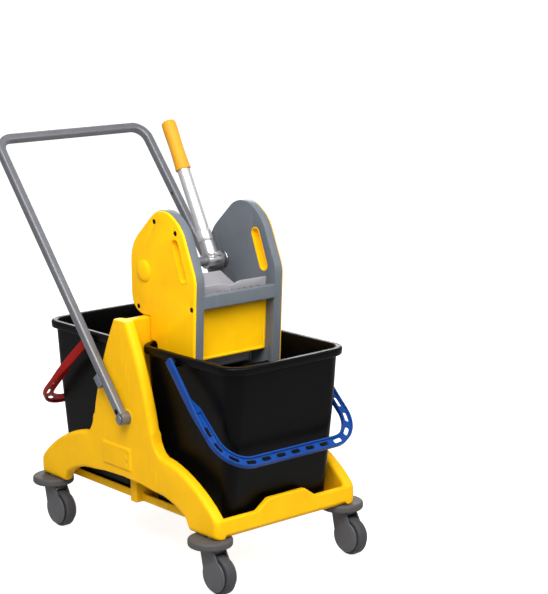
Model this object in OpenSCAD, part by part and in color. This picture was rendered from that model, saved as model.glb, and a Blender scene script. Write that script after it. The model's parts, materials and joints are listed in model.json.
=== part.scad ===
// Double mop bucket trolley: two lift-out buckets on a moulded base with four castors,
// a fold-over push handle and a geared mop wringer on the bridge between the buckets.
// Millimetres. The front is -Y, the rear is +Y, and the floor is Z = 0.

/* [Buckets] */
// Rim width across the trolley
rim_w = 313; // [295:1:330]
// Rim length along the trolley
rim_len = 312; // [300:1:320]
// Height of a bucket, rim included
bucket_h = 335; // [305:1:355]
// Wall thickness of a bucket
bucket_wall = 3; // [2:0.5:4]
// Overhang of the rim beyond the wall
rim_overhang = 11; // [8:1:13]
// Depth of the rim's skirt
rim_drop = 16; // [12:1:20]
// Plan radius of the bucket's upper corners
bucket_corner = 27; // [20:1:36]
// Plan radius of the bucket's foot corners
foot_corner = 17; // [12:1:24]
// Draft of each side wall, top to bottom
draft_side = 12; // [6:1:18]
// Draft of the outer end wall, top to bottom
draft_end = 40; // [30:1:46]

/* [Bails] */
// Overall width of a bail at its grip
bail_w = 364; // [356:1:366]
// Overall width of a bail at its pivots
bail_foot_w = 338; // [334:1:344]
// Reach of the grip's outer edge from the pivot
bail_reach = 263; // [240:1:280]
// Distance of the pivot from the outer end of the rim
bail_setback = 183; // [170:1:195]
// Depth of the pivot below the top of the rim
bail_pivot_drop = 17; // [12:1:20]
// Angle of the leaning bail below level
bail_lean = 43; // [35:1:50]
// Width of the ladder-shaped grip
bail_grip_w = 22; // [18:1:26]
// Outer radius of the bail's bends
bail_bend = 76; // [60:1:90]

/* [Castors] */
// Wheel diameter
wheel_d = 80; // [70:1:100]
// Wheel width
wheel_w = 24; // [20:1:28]
// Distance the axle trails behind the swivel axis
castor_trail = 28; // [22:1:30]
// Bumper disc diameter
bumper_d = 90; // [80:1:100]
// Bumper disc thickness
bumper_t = 16; // [12:1:22]

/* [Base] */
// Thickness of a leg across the trolley
leg_t = 26; // [22:1:30]
// Height of the arch between the feet
arch_h = 62; // [50:1:75]
// Reach of a foot in front of its castor's axis
foot_front = 31; // [27:1:34]
// Reach of a foot behind its castor's axis
foot_back = 55; // [48:1:60]
// Height of the front lip above the feet
lip_h = 38; // [30:1:46]
// Height of the tab on the lip, above the lip
lip_tab_h = 21; // [10:1:26]

/* [Tower] */
// Height of the bridge top above the feet
tower_h = 391; // [384:1:400]
// Thickness of the bridge wall between the buckets
bridge_t = 22; // [18:1:26]
// Length of the tower's foot along the trolley, each way
tower_foot = 102; // [90:1:115]
// Length of the tower's top along the trolley, each way
tower_head = 24; // [18:1:34]

/* [Push handle] */
// Length of the handle from pivot to top bar
handle_len = 690; // [640:1:740]
// Lean of the handle behind upright
handle_lean = 39.6; // [30:0.1:45]
// Depth of the square tube
tube_deep = 20; // [18:1:24]
// Width of the square tube
tube_thin = 18; // [15:1:20]
// Edge radius of the square tube
tube_edge = 5; // [3:0.5:7]
// Wall of the square tube
tube_wall = 1.6; // [1.2:0.1:2]
// Radius of the two bends
handle_bend = 35; // [28:1:50]

/* [Wringer] */
// Width over the side covers
wringer_w = 233; // [215:1:240]
// Width of each side housing with its cover
housing_w = 24; // [22:1:28]
// Height of the wringer above the bridge
wringer_top = 223; // [215:1:235]
// Reach of the housings in front of the bridge's centre
wringer_front = 163; // [158:1:168]
// Depth of the housings below the bridge top
wringer_sink = 126; // [120:1:140]

/* [Lever and jaw] */
// Lean of the lever behind upright
lever_lean = 27.4; // [20:0.1:35]
// Length of the lever from the shaft's axis
lever_len = 315; // [280:1:340]
// Distance of the lever from the trolley's centre line
lever_x = 64; // [-60:1:64]
// Lever tube diameter
lever_d = 27; // [22:1:28]
// Lever shaft diameter
shaft_d = 20; // [16:1:22]
// Jaw rod diameter
jaw_rod_d = 16; // [12:1:18]
// Teeth on a pinion
pinion_teeth = 15; // [15:1:16]
// Teeth on the full circle of a sector
sector_teeth = 90; // [88:1:92]
// Gear module
gear_module = 4; // [3.9:0.05:4.1]

/* [Fits] */
// Radial clearance of a running fit
run_fit = 0.05; // [0.02:0.01:0.1]
// Gap between pieces that pass each other
pass_gap = 3.5; // [3:0.5:4]
// Gap at seats of one assembly
seat_gap = 0.3; // [0.1:0.1:0.5]
// Radial clearance of a fixed pin in its hole
pin_fit = 0.02; // [0.01:0.01:0.05]

/* [Hidden] */
$fn = 48;
YELLOW = [0.98, 0.76, 0.08];
GREY = [0.36, 0.38, 0.40];
PALE = [0.74, 0.74, 0.76];
DARK = [0.22, 0.22, 0.23];
STEEL = [0.62, 0.63, 0.65];
BLACK = [0.06, 0.06, 0.06];
BLUE = [0.10, 0.30, 0.70];
RED = [0.65, 0.10, 0.10];

// Heights from the floor up
fork_gap = 5;
crown_t = 7;
bumper_gap = 1;
axle_z = wheel_d / 2;
crown_z = wheel_d + fork_gap;
bumper_z = crown_z + crown_t + bumper_gap;
foot_z = bumper_z + bumper_t;
tray_t = 5;
tray_z = foot_z + 1;
bucket_z = tray_z + tray_t;
rim_z = bucket_z + bucket_h;
bridge_z = foot_z + tower_h;
seam_z = foot_z + 176;

// Places along and across the trolley
bridge_gap = 2;
rim_y0 = bridge_t / 2 + bridge_gap;
rim_y1 = rim_y0 + rim_len;
rim_mid = (rim_y0 + rim_y1) / 2;
leg_in = rim_w / 2 + pass_gap;
leg_out = leg_in + leg_t;
castor_x = leg_in + 16;
castor_inset = 52;
castor_y = rim_y1 - castor_inset;
toe_y = castor_y + foot_front;
CASTORS = [
    ["front_left", -castor_x, -castor_y],
    ["front_right", castor_x, -castor_y],
    ["rear_left", -castor_x, castor_y],
    ["rear_right", castor_x, castor_y]
];
CASTOR_PIECES = ["bumper", "king_pin", "fork", "wheel", "tyre", "axle"];

// Castor pieces
king_r = 5.5;
king_grip = 34;
axle_r = 5;
cheek_r = 30;
cheek_t = 3;
cheek_gap = 1.5;
tyre_t = 10;
cheek_x = wheel_w / 2 + cheek_gap;

// Bucket and bail
draft_bridge = 14;
body_w = rim_w - 2 * rim_overhang;
body_len = rim_len - 2 * rim_overhang;
bail_y = rim_y1 - bail_setback;
bail_z = rim_z - bail_pivot_drop;
bail_arm_t = 6;
bail_arm_w = 13;
bail_eye_r = 9;
bail_deep = 10;
bail_web = 3;
bail_flange = 3.5;
bail_pin_r = 5;
bail_grip_from = 118;
bail_slot_l = 23;
bail_slot_w = 9;
bail_slot_r = 4;
bail_slot_pitch = 38;
bail_x_in = bail_foot_w / 2 - bail_arm_t;
bail_stub_x = body_w / 2 + 2;

// Tower, handle and its rests
pivot_y = -23;
pivot_up = 17;
pivot_z = seam_z + pivot_up;
pivot_r = 5;
boss_r = 17;
boss_proud = 1.2;
washer_t = 1.2;
boss_x = leg_out + boss_proud;
arm_in = boss_x + washer_t + 0.2;
arm_x = arm_in + tube_thin / 2;
rest_s = 96;
rest_len = 26;
rest_t = 9;
rest_peg_r = 4;
rest_seat = tube_deep / 2 + seat_gap;
handle_eye_r = 13;
hole_s = 506;
hole_r = 3.3;

// Wringer, measured from the bridge top
half_w = wringer_w / 2;
side_in = half_w - housing_w;
cover_t = 5;
side_wall = 3.5;
skin = 4;
shaft_y = 4.4;
shaft_up = 93.5;
pinion_r = gear_module * pinion_teeth / 2;
sector_r = gear_module * sector_teeth / 2;
jaw_down = 102;
jaw_y = shaft_y - sqrt(pow(pinion_r + sector_r, 2) - pow(shaft_up + jaw_down, 2));
mesh_angle = atan2(shaft_up + jaw_down, shaft_y - jaw_y);
gear_t = 9;
gear_x = half_w - cover_t - 3 - gear_t;
slot_y = -113;
slot_up = 128;
slot_tilt = 21;
slot_len = 67;
slot_r = 10.5;
slot_lining = 2.5;
rail_y = 161;
rail_t = 13;
rail_up = 32;
rail_h = 30;
panel_y = 136;
panel_t = 4;
panel_h = 102;
grid_t = 4;
grid_top_y = 130;
grid_foot_y = 114;
grid_up = 74;
grid_down = 80;
bush_wall = 3;
shaft_bush_r = shaft_d / 2 + bush_wall;
jaw_bush_r = jaw_rod_d / 2 + bush_wall;
sink_gap = 7;
sink_y = -(rim_y0 + rim_overhang + bucket_wall + sink_gap);
tie_r = 6;
tie_grip = 6;
TIES = [[-138, -108], [sink_y - tie_r, -32]];
SCREWS = [[-33, 198], [-101, 182], [25, 17], [-150, 35]];
screw_r = 3;
bump_r = 23;

// Lever parts along its own axis
hub_r = 17;
hub_w = 40;
socket_r = 16.5;
ferrule_s = 26;
ferrule_len = 26;
tube_s = 40;
grip_len = 107;
grip_s = lever_len - grip_len;

// Outline helpers

function unit(v) = v / norm(v);
function polar(r, a) = [r * cos(a), r * sin(a)];

// Closed outline whose corners [x, y, radius] are rounded by arcs of n steps
function rounded(corners, n = 7) = [
    for (i = [0:len(corners) - 1])
    let (
        k = len(corners),
        p = [corners[i][0], corners[i][1]],
        a = corners[(i + k - 1) % k],
        b = corners[(i + 1) % k],
        u = unit([a[0], a[1]] - p),
        v = unit([b[0], b[1]] - p),
        half = acos(u * v) / 2,
        r = corners[i][2],
        c = p + unit(u + v) * r / sin(half),
        s = p + u * r / tan(half) - c,
        e = p + v * r / tan(half) - c,
        from = atan2(s[1], s[0]),
        turn = (atan2(e[1], e[0]) - from + 540) % 360 - 180
    )
    for (j = [0:n]) c + polar(r, from + turn * j / n)
];

// Outline moved inward by d along its normals; the outline runs counter-clockwise
function inset(pts, d) = [
    for (i = [0:len(pts) - 1])
    let (k = len(pts), t = unit(pts[(i + 1) % k] - pts[(i + k - 1) % k]))
    pts[i] + d * [-t[1], t[0]]
];

// Ring of a rounded rectangle, k points to a corner
function ring(cx, cy, hx, hy, r, z, k = 4) = [
    for (q = [0:3], j = [0:k - 1])
    let (a = 90 * q + 90 * j / (k - 1), sx = q == 0 || q == 3 ? 1 : -1, sy = q < 2 ? 1 : -1)
    [cx + sx * (hx - r) + r * cos(a), cy + sy * (hy - r) + r * sin(a), z]
];

// Solid through a list of rings with equal numbers of points, stacked along +Z
module loft(rings) {
    n = len(rings[0]);
    m = len(rings);
    polyhedron(
        [for (r = rings) each r],
        concat(
            [[for (i = [0:n - 1]) i]],
            [for (j = [0:m - 2], i = [0:n - 1])
                [j * n + i, (j + 1) * n + i, (j + 1) * n + (i + 1) % n, j * n + (i + 1) % n]],
            [[for (i = [n - 1:-1:0]) (m - 1) * n + i]]
        )
    );
}

// Plate of thickness t whose upper edge is rounded by r
module moulded_plate(outline, t, r, steps = 4) {
    levels = concat(
        [[0, 0]],
        [for (k = [0:steps]) [t - r + r * sin(90 * k / steps), r * (1 - cos(90 * k / steps))]]
    );
    loft([for (l = levels) [for (p = inset(outline, l[1])) [p[0], p[1], l[0]]]]);
}

module rounded_rect(w, l, r) {
    square([w - 2 * r, l], center = true);
    square([w, l - 2 * r], center = true);
    for (x = [-1, 1], y = [-1, 1])
        translate([x * (w / 2 - r), y * (l / 2 - r)]) circle(r);
}

module stadium(long, thin) {
    square([thin, long - thin], center = true);
    for (y = [-1, 1]) translate([0, y * (long - thin) / 2]) circle(d = thin);
}

module both_sides() {
    children();
    mirror([1, 0, 0]) children();
}

// Rod along +X from x0 to x1
module rod(x0, x1, r) {
    translate([x0, 0, 0]) rotate([0, 90, 0]) cylinder(h = x1 - x0, r = r);
}

// Extrudes a (Y, Z) drawing along X from x0 to x1
module across(x0, x1) {
    translate([x0, 0, 0]) rotate([90, 0, 90]) linear_extrude(x1 - x0) children();
}

// Base

function leg_top(y) =
    let (from = tower_foot + fillet, run = toe_y + 6 - from, rise = leg_h - toe_h)
    y <= tower_foot ? seam_z
    : y <= from ? foot_z + leg_h + (seam_z - foot_z - leg_h) * (1 - sqrt(1 - pow((from - y) / fillet, 2)))
    : foot_z + toe_h + rise * pow(1 - pow((y - from) / run, 1.5), 0.75);
leg_h = 131;
toe_h = 26;
toe_r = 10;
leg_edge = 10;
fillet = 33;
arch_len = castor_y - foot_back;
function leg_under(y) = y >= arch_len ? foot_z : foot_z + arch_h * sqrt(1 - pow(y / arch_len, 2));
function leg_outer(y) =
    let (past = y - toe_y + toe_r) past <= 0 ? leg_out : leg_out - toe_r + sqrt(pow(toe_r, 2) - pow(past, 2));
function leg_round(y) = y <= tower_foot ? 2 : 2 + (leg_edge - 2) * min(1, (y - tower_foot) / fillet);
function leg_ring(y) =
    let (hx = (leg_outer(y) - leg_in) / 2, hz = (leg_top(y) - leg_under(y)) / 2)
    ring(leg_in + hx, leg_under(y) + hz, hx, hz, min(leg_round(y), hx - 1, hz - 1), y, 6);
LEG_STATIONS = concat(
    [seat_gap / 2, tower_foot - 40, tower_foot],
    [for (k = [1:6]) tower_foot + fillet * (1 - cos(15 * k))],
    [for (k = [1:8]) tower_foot + fillet + (arch_len - tower_foot - fillet) * k / 8],
    [for (k = [1:5]) arch_len + (toe_y - toe_r - arch_len) * k / 5],
    [for (k = [1:5]) toe_y - toe_r + toe_r * sin(18 * k)]
);

// Hollow of a leg, open to the floor
module leg_pocket() {
    wall = 4.5;
    deep = castor_y - 90;
    points = concat(
        [for (k = [0:8]) let (y = 6 + (deep - 6) * k / 8) [-y, leg_top(y) - wall - 5]],
        [[-deep, foot_z], [-6, foot_z]]
    );
    difference() {
        across(leg_in + wall, leg_out - wall) polygon(points);
        for (k = [1:3])
            translate([leg_in, -6 - (deep - 6) * k / 4, foot_z]) cube([leg_t, 3, 200]);
    }
}

tongue_t = 3;
tongue_past = 30;
tongue_back = 64;
tongue_low = 81;
tongue_high = 125;
bolt_r = 4;
bolt_head = 3;
bolt_y = bridge_t / 2 + bolt_r + bolt_head + 2;
BOLT_HEIGHTS = [95, 112];

lip_t = 13;
lip_set = 0.5;
lip_y0 = lip_t + lip_set - toe_y;

module lip() {
    half = leg_in + 4;
    low = tray_z - 0.5;
    top = tray_z + lip_h;
    tab_top = top + lip_tab_h;
    tab_half = 48;
    tab_foot = 78;
    chamfer = 9;
    corners = [
        [-half, low, 1], [half, low, 1], [half, top, 1], [tab_foot, top, 8], [tab_half, tab_top, 8],
        [-tab_half, tab_top, 8], [-tab_foot, top, 8], [-half, top, 1]
    ];
    difference() {
        translate([0, lip_y0, 0]) rotate([90, 0, 0]) linear_extrude(lip_t) polygon(rounded(corners, 4));
        across(-half - 1, half + 1) translate([lip_y0 - lip_t, low])
            polygon([[-1, -1], [chamfer, -1], [-1, chamfer]]);
    }
}

// The front half; the rear half is the same moulding turned round
module half_base() {
    tray_y0 = bridge_t / 2 + 1;
    tray_w = body_w - 8;
    difference() {
        union() {
            both_sides() rotate([90, 0, 0]) loft([for (y = LEG_STATIONS) leg_ring(y)]);
            translate([-castor_x, -castor_y - 24, tray_z]) cube([2 * castor_x, 50, tray_t]);
            translate([-tray_w / 2, lip_y0 - 4, tray_z]) cube([tray_w, -lip_y0 + 4 - tray_y0, tray_t]);
            both_sides()
                translate([tray_w / 2 - 4, lip_y0 - 4, tray_z]) cube([4, -lip_y0 + 4 - tray_y0, 17]);
            lip();
            translate([leg_out, 0, foot_z + tongue_low]) linear_extrude(tongue_high - tongue_low)
                polygon([
                    [-2, -tongue_back], [tongue_t, -tongue_back], [tongue_t, tongue_past],
                    [seat_gap, tongue_past], [seat_gap, -5], [-2, -5]
                ]);
        }
        both_sides() leg_pocket();
        for (x = [-1, 1])
            translate([x * castor_x, -castor_y, foot_z - 1])
                cylinder(h = king_grip + 1, r = king_r + pin_fit);
        for (z = BOLT_HEIGHTS) {
            translate([0, bolt_y, foot_z + z]) rod(leg_in - 1, leg_out + tongue_t + 1, bolt_r);
            translate([0, -bolt_y, foot_z + z]) rod(-leg_out - 1, -leg_in + 1, bolt_r);
        }
    }
}
module base_front() { color(YELLOW) half_base(); }
module base_rear() { color(YELLOW) rotate(180) half_base(); }
module base_bolts() {
    color(STEEL)
        for (a = [0, 180], z = BOLT_HEIGHTS)
            rotate(a) translate([0, bolt_y, foot_z + z]) {
                rod(leg_in, leg_out + tongue_t - 0.5, bolt_r - run_fit);
                rod(leg_in - bolt_head, leg_in, bolt_r + bolt_head);
            }
}

// Tower and bridge

function tower_t(z) = (z - seam_z) / (bridge_z - seam_z);
function tower_half(z) =
    let (t = tower_t(z)) tower_foot - (tower_foot - tower_head) * (0.59 * t + 0.41 * t * t);
module tower_side() {
    steps = 8;
    hx = leg_t / 2;
    loft([
        for (k = [0:steps])
        let (z = seam_z + (bridge_z - seam_z) * k / steps)
        ring(leg_in + hx, 0, hx, tower_half(z), leg_edge, z, 6)
    ]);
}
module tower_pocket() {
    wall = 4.5;
    top = bridge_z - 10;
    across(leg_in + wall, leg_out - wall)
        polygon([
            [-tower_foot + 12, seam_z - 1], [tower_foot - 12, seam_z - 1],
            [tower_half(top) - 6, top], [-tower_half(top) + 6, top]
        ]);
}
module centre_tower() {
    wall_w = leg_in - seat_gap;
    wall = 3;
    color(YELLOW) difference() {
        union() {
            both_sides() tower_side();
            translate([-wall_w, -bridge_t / 2, tray_z]) cube([2 * wall_w, bridge_t, bridge_z - tray_z]);
            translate([-leg_in - 3, -bridge_t / 2, seam_z]) cube([2 * leg_in + 6, bridge_t, bridge_z - seam_z]);
            both_sides() translate([0, pivot_y, pivot_z]) rod(leg_out - 6, boss_x, boss_r);
        }
        translate([-wall_w + wall, -bridge_t / 2 + wall, tray_z - 1])
            cube([2 * (wall_w - wall), bridge_t - 2 * wall, bridge_z - tray_z - wall]);
        both_sides() tower_pocket();
        both_sides() translate([0, pivot_y, pivot_z]) rod(leg_in - 1, boss_x + 1, pivot_r + pin_fit);
        both_sides() in_handle() translate([0, rest_s, -rest_seat - rest_t / 2])
            rod(leg_in + 7, boss_x + 1, rest_peg_r + pin_fit);
    }
}

// Castors

module at_castor(c) { translate([c[1], c[2], 0]) children(); }
module bumper(c) {
    edge = 5;
    r = bumper_d / 2;
    color(GREY) at_castor(c) translate([0, 0, bumper_z]) rotate_extrude($fn = 64) {
        translate([king_r + run_fit, 0]) square([r - edge - king_r - run_fit, bumper_t]);
        translate([r - edge - 1, edge]) square([edge + 1, bumper_t - 2 * edge]);
        for (y = [edge, bumper_t - edge]) translate([r - edge, y]) circle(edge);
    }
}
module king_pin(c) {
    color(STEEL) at_castor(c) {
        translate([0, 0, crown_z - 6]) cylinder(h = 6 - run_fit, r = king_r + 4, $fn = 6);
        translate([0, 0, crown_z - 5]) cylinder(h = foot_z + king_grip - crown_z + 4.5, r = king_r);
    }
}
module fork(c) {
    hole = king_r + run_fit;
    color(DARK) at_castor(c) {
        difference() {
            union() {
                translate([0, 0, crown_z]) cylinder(h = crown_t, r = 21);
                translate([-cheek_x - cheek_t, -castor_trail, crown_z])
                    cube([2 * (cheek_x + cheek_t), castor_trail + 8, crown_t]);
            }
            translate([0, 0, crown_z - 1]) cylinder(h = crown_t + 2, r = hole);
        }
        for (x = [-cheek_x - cheek_t, cheek_x]) difference() {
            across(x, x + cheek_t) {
                translate([-castor_trail, axle_z]) circle(cheek_r);
                polygon([
                    [-castor_trail - cheek_r, axle_z], [-castor_trail, crown_z + crown_t - 1],
                    [8, crown_z + crown_t - 1], [12, crown_z], [-castor_trail + cheek_r, axle_z]
                ]);
            }
            translate([0, -castor_trail, axle_z]) rod(x - 1, x + cheek_t + 1, axle_r + pin_fit);
        }
    }
}
module at_wheel(c) {
    at_castor(c) translate([0, -castor_trail, axle_z]) rotate([0, 90, 0]) children();
}
module wheel(c) {
    r = wheel_d / 2 - tyre_t;
    bore = axle_r + run_fit;
    color(PALE) at_wheel(c) rotate_extrude() {
        translate([bore, -wheel_w / 2]) square([6, wheel_w]);
        translate([bore, -3]) square([r - bore, 6]);
        translate([r - 4, -wheel_w / 2 + 2]) square([4, wheel_w - 4]);
    }
}
module tyre(c) {
    r = wheel_d / 2;
    crown = 5;
    half = wheel_w / 2 - 1;
    color(DARK) at_wheel(c) rotate_extrude($fn = 64) {
        translate([r - tyre_t, -half]) square([tyre_t - crown, 2 * half]);
        translate([r - tyre_t, -half + crown]) square([tyre_t, 2 * (half - crown)]);
        for (y = [-1, 1]) translate([r - crown, y * (half - crown)]) circle(crown - 0.01);
    }
}
module axle(c) {
    reach = cheek_x + cheek_t;
    color(STEEL) at_wheel(c) {
        translate([0, 0, -reach]) cylinder(h = 2 * reach, r = axle_r);
        for (s = [-1, 1]) translate([0, 0, s * (reach + 1.25)]) cylinder(h = 2.5, r = axle_r + 3, center = true);
    }
}

// Buckets

// Tapered tub with plan w by l at the rim, shrunk all round by d, standing from z0 to z1
module tub(d, z0, z1) {
    slab = 0.1;
    foot_w = body_w - 2 * draft_side - 2 * d;
    foot_l = body_len - draft_end - draft_bridge - 2 * d;
    hull() {
        translate([0, (draft_end - draft_bridge) / 2, z0])
            linear_extrude(slab) rounded_rect(foot_w, foot_l, foot_corner - d, $fn = 32);
        translate([0, 0, z1 - slab])
            linear_extrude(slab) rounded_rect(body_w - 2 * d, body_len - 2 * d, bucket_corner - d, $fn = 32);
    }
}
// Rounded lip that runs round the rim with its skirt turned down
module rim_profile() {
    t = 4;
    round = 5;
    reach = rim_overhang;
    translate([-bucket_wall, -t]) square([reach + bucket_wall - round, t]);
    translate([reach - round, -round]) intersection() {
        circle(round);
        square(round);
    }
    translate([reach - round, -rim_drop]) square([round, rim_drop - round]);
}
module rim() {
    r = bucket_corner;
    hx = body_w / 2 - r;
    hy = body_len / 2 - r;
    for (q = [0:3]) {
        along = q % 2 == 0 ? hy : hx;
        out = q % 2 == 0 ? hx : hy;
        rotate(90 * q) {
            translate([out, along, 0]) rotate_extrude(angle = 90) translate([r, 0]) rim_profile();
            translate([out + r, along, 0]) rotate([90, 0, 0]) linear_extrude(2 * along) rim_profile();
        }
    }
}
// Front bucket; the rear bucket is the same turned round
module bucket() {
    boss_end = bail_x_in - seat_gap;
    color(BLACK) difference() {
        union() {
            translate([0, -rim_mid, 0]) {
                difference() {
                    tub(0, bucket_z, rim_z - 1);
                    tub(bucket_wall, bucket_z + bucket_wall, rim_z + 1);
                }
                translate([0, 0, rim_z]) rim();
            }
            both_sides() translate([0, -bail_y, bail_z]) rod(body_w / 2 - 1, boss_end, bail_eye_r);
        }
        both_sides() translate([0, -bail_y, bail_z])
            rod(bail_stub_x - seat_gap, boss_end + 1, bail_pin_r + run_fit);
    }
}
module bucket_front() { bucket(); }
module bucket_rear() { rotate(180) bucket(); }

// Flat U from the pivot line: outer edge brought in by d
module bail_outline(d) {
    r = max(bail_bend - d, 1);
    half = bail_w / 2 - d;
    reach = bail_reach - d;
    translate([-half, 0]) square([2 * half, reach - r]);
    translate([-half + r, 0]) square([2 * (half - r), reach]);
    for (x = [-1, 1]) translate([x * (half - r), reach - r]) circle(r);
}
module bail_band(d0, d1) {
    difference() {
        bail_outline(d0);
        bail_outline(d1);
        translate([-bail_w, -1]) square([2 * bail_w, bail_grip_from + 1]);
    }
}
// Place and turn on the grip's middle line at the distance s from the middle of the U
function bail_path(s) =
    let (
        r = bail_bend - bail_grip_w / 2,
        flat = bail_w / 2 - bail_bend,
        bend = r * PI / 2,
        turn = min(90, max(0, (s - flat) / bend * 90)),
        past = max(0, s - flat - bend)
    )
    [min(s, flat) + r * sin(turn), bail_reach - bail_bend + r * cos(turn) - past, -turn];
module bail_slots() {
    for (k = [0:6])
        let (p = bail_path(k * bail_slot_pitch))
            both_sides() translate([p[0], p[1]]) rotate(p[2])
                rounded_rect(bail_slot_l, bail_slot_w, bail_slot_r, $fn = 24);
}
module bail() {
    arm_end = bail_grip_from + 8;
    arm_x_out = bail_foot_w / 2;
    top_x = bail_w / 2 - 0.5;
    grip_in = bail_w / 2 - bail_grip_w;
    translate([0, -bail_y, bail_z]) rotate([180 + bail_lean, 0, 0]) {
        difference() {
            translate([0, 0, -bail_web / 2]) linear_extrude(bail_web) bail_band(0, bail_grip_w);
            translate([0, 0, -bail_deep]) linear_extrude(2 * bail_deep) bail_slots();
        }
        translate([0, 0, -bail_deep / 2]) linear_extrude(bail_deep) {
            bail_band(0, bail_flange);
            bail_band(bail_grip_w - bail_flange, bail_grip_w);
            both_sides() polygon([
                [top_x - bail_arm_t, bail_grip_from - 46], [top_x - 1, arm_end - 3],
                [grip_in, arm_end - 3], [grip_in, bail_grip_from - 4]
            ]);
        }
        both_sides() {
            rod(bail_stub_x, bail_x_in + 1, bail_pin_r);
            rod(bail_x_in, arm_x_out, bail_eye_r);
            translate([0, 0, -bail_arm_w / 2]) linear_extrude(bail_arm_w)
                polygon([
                    [bail_x_in, 0], [arm_x_out, 0], [top_x, arm_end], [top_x - bail_arm_t, arm_end]
                ]);
        }
    }
}
module bail_front() { color(BLUE) bail(); }
module bail_rear() { color(RED) rotate(180) bail(); }

// Push handle

// Frame of the handle: +Y along the arms from the pivot, +Z to the front of the handle
module in_handle() {
    translate([0, pivot_y, pivot_z]) rotate([90 - handle_lean, 0, 0]) children();
}
module tube_section(d) { rounded_rect(tube_thin - 2 * d, tube_deep - 2 * d, tube_edge - d, $fn = 32); }
// Square tube of the handle, made thinner all round by d
module handle_tube(d) {
    run = handle_len - handle_bend;
    span = arm_x - handle_bend;
    both_sides() {
        translate([arm_x, run, 0]) rotate([90, 0, 0]) linear_extrude(run - d) tube_section(d);
        translate([span, run, 0]) rotate_extrude(angle = 90, $fn = 64)
            translate([handle_bend, 0]) tube_section(d);
    }
    translate([-span, handle_len, 0]) rotate([90, 0, 90]) linear_extrude(2 * span) tube_section(d);
}
module push_handle() {
    color(STEEL) in_handle() difference() {
        union() {
            handle_tube(0);
            both_sides() rod(arm_in, arm_in + tube_thin, handle_eye_r);
        }
        difference() {
            handle_tube(tube_wall);
            both_sides() rod(arm_in, arm_in + tube_thin, handle_eye_r);
        }
        both_sides() rod(arm_in - 1, arm_in + tube_thin + 1, pivot_r + run_fit);
        translate([0, hole_s, 0]) rod(arm_in - 1, arm_in + tube_thin + 1, hole_r);
    }
}
module handle_bolts() {
    end = arm_in + tube_thin + seat_gap;
    color(STEEL) both_sides() translate([0, pivot_y, pivot_z]) {
        rod(leg_in - 1, end, pivot_r);
        rod(leg_in - 3, leg_in, pivot_r + 4);
        rod(end, end + 4, pivot_r + 4);
    }
}
module handle_washers() {
    color(STEEL) both_sides() translate([0, pivot_y, pivot_z]) difference() {
        rod(boss_x, boss_x + washer_t, boss_r - 3);
        rod(boss_x - 1, boss_x + washer_t + 1, pivot_r + run_fit);
    }
}
module handle_rests() {
    plate = 2.5;
    x0 = leg_out + 0.1;
    x1 = arm_in + tube_thin + 0.5;
    color(GREY) both_sides() in_handle() {
        translate([x0, rest_s - rest_len / 2, -rest_seat - rest_t]) cube([x1 + plate - x0, rest_len, rest_t]);
        translate([x1, rest_s - rest_len / 2, -rest_seat - 1]) cube([plate, rest_len, 8]);
        translate([0, rest_s, -rest_seat - rest_t / 2]) rod(leg_in + 8, x0 + 1, rest_peg_r);
    }
}

// Wringer

WRINGER_CORNERS = [
    [-wringer_front + 11, -wringer_sink, 14], [sink_y, -wringer_sink, 14], [sink_y, -50, 6],
    [-13, -50, 7], [-13, 0, 1.5], [50, 0, 42], [50, 144, 80], [-37, wringer_top, 58],
    [-78, wringer_top, 50], [-wringer_front + 42, wringer_top - 29, 80], [-wringer_front, 95, 60]
];
SIDE_OUTLINE = rounded(WRINGER_CORNERS);

module in_wringer() { translate([0, 0, bridge_z]) children(); }
module grip_slot(r) {
    translate([slot_y, slot_up]) rotate(-slot_tilt) stadium(slot_len + 2 * r, 2 * r);
}
module shaft_axis() { translate([0, shaft_y, shaft_up]) children(); }
module jaw_axis() { translate([0, jaw_y, -jaw_down]) children(); }

// Right-hand housing: a tray open to the outside, closed by its cover
module side() {
    rim_x = half_w - cover_t;
    color(GREY) in_wringer() difference() {
        across(side_in, rim_x) polygon(SIDE_OUTLINE);
        difference() {
            across(side_in + side_wall, rim_x + 1) polygon(inset(SIDE_OUTLINE, skin));
            across(side_in, rim_x) grip_slot(slot_r + slot_lining + 3);
            for (s = SCREWS) translate([0, s[0], s[1]]) rod(side_in, rim_x, screw_r + 5);
            for (t = TIES) translate([0, t[0], t[1]]) rod(side_in, side_in + tie_grip, tie_r + 3);
        }
        across(side_in - 1, rim_x + 1) grip_slot(slot_r + slot_lining + seat_gap);
        shaft_axis() rod(side_in - 1, rim_x, shaft_bush_r);
        jaw_axis() rod(side_in - 1, rim_x, jaw_bush_r);
        for (t = TIES) translate([0, t[0], t[1]]) rod(side_in - 1, side_in + tie_grip - 1.5, tie_r);
        for (s = SCREWS) translate([0, s[0], s[1]]) rod(rim_x - 12, rim_x + 1, screw_r);
    }
}
module side_right() { side(); }
module side_left() { mirror([1, 0, 0]) side(); }

// Right-hand cover with the lining of the lifting grip
module cover() {
    face = half_w - cover_t;
    color(YELLOW) in_wringer() difference() {
        union() {
            translate([face, 0, 0]) rotate([90, 0, 90]) moulded_plate(inset(SIDE_OUTLINE, 1), cover_t, 3.5);
            across(side_in, half_w + 0.8) grip_slot(slot_r + slot_lining);
            shaft_axis() rod(face, half_w + 1.5, bump_r);
        }
        across(side_in - 1, half_w + 2) grip_slot(slot_r);
        for (s = SCREWS) translate([0, s[0], s[1]]) {
            rod(face - 1, half_w + 2, screw_r + 0.2);
            rod(half_w - 2, half_w + 3, screw_r + 2.5);
        }
    }
}
module cover_right() { cover(); }
module cover_left() { mirror([1, 0, 0]) cover(); }
module cover_screws() {
    face = half_w - cover_t;
    color(STEEL) in_wringer() both_sides()
        for (s = SCREWS) translate([0, s[0], s[1]]) {
            rod(face - 11, half_w - 2, screw_r - run_fit);
            rod(half_w - 2, half_w - 0.4, screw_r + 2.2);
        }
}
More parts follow.
